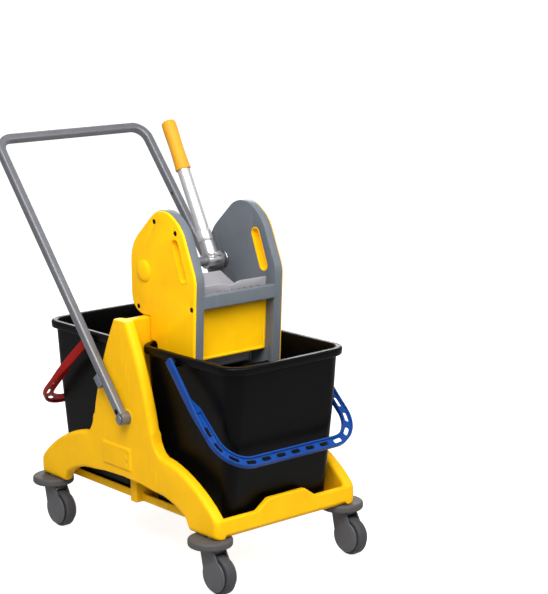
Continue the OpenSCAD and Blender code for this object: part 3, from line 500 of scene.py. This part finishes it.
DOME = [(117.2, 22.4), (117.9, 22.2), (119.0, 21.2), (120.6, 18.4), (121.7, 14.5), (122.4, 9), (122.6, 1)]
RING_PLATE = [(89.1, 10.3), (89.1, 13.6), (89.8, 14.0), (89.8, 15.2), (89.1, 15.6), (89.1, 17.4),
              (90.0, 18.4), (92.4, 18.4), (92.4, 10.3)]

turned_pair("cover_domes", DOME, PIVOT["lever_pull"], "wringer", "cover_yellow", count=64)
turned_pair("shaft_rings", RING_PLATE, PIVOT["lever_pull"], "wringer", "steel")


# Handle: black discs above the pivots, painted shade for the dark holes there

HANDLE_LEAN = math.radians(39.6)
HOLE_SHADE_UP = 17
HOLE_SHADE_DISC = [(206.0, 5.8), (206.75, 5.8), (206.95, 5.4), (206.95, 5.0), (206.65, 4.6), (206.65, 0.5)]

along_arm = Vector((0, math.sin(HANDLE_LEAN), math.cos(HANDLE_LEAN)))
hole_shade_centre = Vector(PIVOT["handle_fold"]) + HOLE_SHADE_UP * along_arm
turned_pair("handle_hole_shades", HOLE_SHADE_DISC, hole_shade_centre, "handle", "bucket_black", count=28)


# CAD nodes that keep their shape: the record's material or one nearer to the photograph, and softer edges

PAINTED = {
    "lever_shaft": "handle_paint", "shaft_bushes": "steel", "base_bolts": "base_yellow",
    # tie_rods and jaw_rod are painted black as painted shade, standing for the dark under the wringer panel
    "cover_screws": "bucket_black", "tie_rods": "bucket_black", "jaw_rod": "bucket_black",
    "handle_bolts": "handle_paint", "handle_washers": "handle_paint",
    **{"axle_" + corner: "wheel_grey" for corner in CORNERS},
    **{"fork_" + corner: "wheel_grey" for corner in CORNERS},
}
SMALL_ROUNDING = 0.5
ROUNDING = {
    "bail_front": 1.1, "bail_rear": 1.1, "side_left": 1.2, "side_right": 1.2,
    "cover_left": 0.8, "cover_right": 0.8, "front_rail": 0.8, "press_grid": 0.9, "press_jaw": 0.9,
    "push_handle": 0.4, "handle_rests": 0.8, "handle_bolts": 1.6, "lever_hub": 1.2,
    **{"bumper_" + corner: 3.0 for corner in CORNERS},
    **{"fork_" + corner: 1.2 for corner in CORNERS},
}

for name, piece in nodes.items():
    give(piece, PAINTED.get(name, SLOT_OF[name]))
    smooth_shaded(piece.data)
    if not piece.hide_render:
        round_edges(piece, ROUNDING.get(name, SMALL_ROUNDING) * MM)


# Camera, floor and lights, in metres

VIEW_AZIMUTH, VIEW_PITCH, VIEW_ROLL = (math.radians(angle) for angle in (38.3, 13.5, -0.9))
VIEW_TARGET, VIEW_DISTANCE = Vector((0, 0, 0.4)), 3.5819
VIEW_LEFT, VIEW_DOWN = 0.0026, 0.0072
IMAGE_PIXELS, FOCAL_PIXELS, CENTRE_PIXEL = (548, 594), 1705.6, (190.1, 358.0)
SENSOR = 36
CAMERA_REACH = 200


def make_camera():
    """The photograph's view: a long lens, front left, a little above."""
    level = math.cos(VIEW_PITCH)
    ahead = Vector((math.sin(VIEW_AZIMUTH) * level, math.cos(VIEW_AZIMUTH) * level, -math.sin(VIEW_PITCH)))
    side = Vector((math.cos(VIEW_AZIMUTH), -math.sin(VIEW_AZIMUTH), 0))
    above = side.cross(ahead)
    right = math.cos(VIEW_ROLL) * side + math.sin(VIEW_ROLL) * above
    up = -math.sin(VIEW_ROLL) * side + math.cos(VIEW_ROLL) * above
    place = VIEW_TARGET - ahead * VIEW_DISTANCE - right * VIEW_LEFT - up * VIEW_DOWN
    long_side = max(IMAGE_PIXELS)
    data = bpy.data.cameras.new("camera")
    data.sensor_fit = "AUTO"
    data.sensor_width = SENSOR
    data.lens = FOCAL_PIXELS * SENSOR / long_side
    data.shift_x = (IMAGE_PIXELS[0] / 2 - CENTRE_PIXEL[0]) / long_side
    data.shift_y = (CENTRE_PIXEL[1] - IMAGE_PIXELS[1] / 2) / long_side
    data.clip_end = CAMERA_REACH
    camera = bpy.data.objects.new("camera", data)
    camera.matrix_world = Matrix((
        (right.x, up.x, -ahead.x, place.x),
        (right.y, up.y, -ahead.y, place.y),
        (right.z, up.z, -ahead.z, place.z),
        (0, 0, 0, 1)))
    bpy.context.scene.collection.objects.link(camera)
    bpy.context.scene.camera = camera


FLOOR_HALF = 80
FLOOR_DARK, FLOOR_LIGHT = (0.40, 0.40, 0.40, 1), (0.42, 0.42, 0.42, 1)
FLOOR_LIFT = 0.85
GLOSS_NEAR, GLOSS_FAR, GLOSS_SHARE = 0.40, 0.80, 0.4


def make_floor():
    """White floor that keeps the shadow; near the object it glows for glossy rays only, a painted reflection, and
    not further off.
    """
    half = FLOOR_HALF
    mesh = bpy.data.meshes.new("floor")
    square = [(-half, -half, 0), (half, -half, 0), (half, half, 0), (-half, half, 0)]
    mesh.from_pydata(square, [], [(0, 1, 2, 3)])
    floor = bpy.data.objects.new("floor", mesh)
    s = Shader("floor")
    s.wire("Base Color", s.tones(s.spread(s.noise(scale=3, detail=2)), FLOOR_DARK, FLOOR_LIGHT))
    s.wire("Roughness", 0.9)
    s.wire("Specular IOR Level", 0.1)
    ray = s.add("ShaderNodeLightPath").outputs
    seen = s.combine("MAXIMUM", ray["Is Camera Ray"], ray["Is Transmission Ray"])
    reach = s.add("ShaderNodeVectorMath", {0: s.coords}, operation="LENGTH").outputs["Value"]
    # Painted reflection: glossy rays see the floor glowing near the object, which puts bright patches in glossy
    # parts
    near = s.spread(reach, GLOSS_SHARE, 0, GLOSS_NEAR, GLOSS_FAR)
    reflected_glow = s.combine("MULTIPLY", ray["Is Glossy Ray"], near)
    s.wire("Emission Color", (1, 1, 1, 1))
    s.wire("Emission Strength", s.combine("MULTIPLY", s.combine("MAXIMUM", seen, reflected_glow), FLOOR_LIFT))
    mesh.materials.append(s.material)
    bpy.context.scene.collection.objects.link(floor)


SKY_STRENGTH = 0.45


def make_sky():
    world = bpy.data.worlds.new("studio")
    bpy.context.scene.world = world
    world.use_nodes = True
    sky = world.node_tree.nodes["Background"]
    sky.inputs["Color"].default_value = (1, 1, 1, 1)
    sky.inputs["Strength"].default_value = SKY_STRENGTH


def make_lamp(name, kind, place, aim, energy, **settings):
    data = bpy.data.lights.new(name, kind)
    data.energy = energy
    for key, value in settings.items():
        setattr(data, key, value)
    lamp = bpy.data.objects.new(name, data)
    lamp.location = place
    lamp.rotation_euler = (Vector(aim) - Vector(place)).to_track_quat("-Z", "Y").to_euler()
    bpy.context.scene.collection.objects.link(lamp)


make_camera()
make_floor()
make_sky()
make_lamp("key", "SUN", place=(-3, -4, 6), aim=(0, 0, 0.3), energy=0.68, angle=math.radians(40))
make_lamp("top", "AREA", place=(-1.25, -1.05, 2.1), aim=(0, 0, 0.5), energy=50, size=1.3)
make_lamp("front", "AREA", place=(0.2, -1.35, 1.55), aim=(0, 0, 0.6), energy=17, size=1.0)
make_lamp("back", "AREA", place=(2.0, 2.2, 1.9), aim=(0, 0, 0.4), energy=62, size=2.0)
bpy.context.scene.view_settings.view_transform = "Standard"
